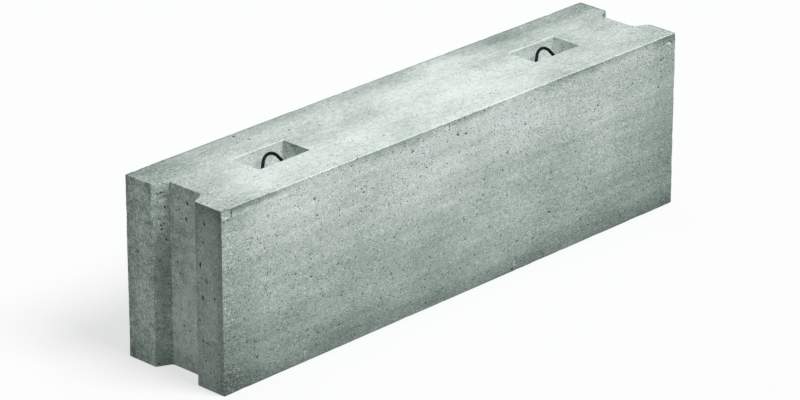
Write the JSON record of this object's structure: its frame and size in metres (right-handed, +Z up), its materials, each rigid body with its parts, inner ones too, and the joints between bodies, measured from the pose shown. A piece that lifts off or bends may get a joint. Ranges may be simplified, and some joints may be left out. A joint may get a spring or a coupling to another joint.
{
  "type": "concrete foundation wall block",
  "caption": "Solid cast concrete foundation wall block with a mortar groove down each end and recessed steel lifting loops in pockets in its top face.",
  "frame": {"origin": "centre of the bottom face, on the floor", "axes": "+X along the length, +Y across the width towards the face that the lifting loops lean to, +Z up"},
  "size_m": [1.98, 0.4, 0.58],
  "materials": {
    "concrete": "matte",
    "loop_steel": "matte"
  },
  "bodies": {
    "root": {"concrete_block": "concrete", "lifting_loop_left": "loop_steel", "lifting_loop_right": "loop_steel"}
  },
  "joints": []
}
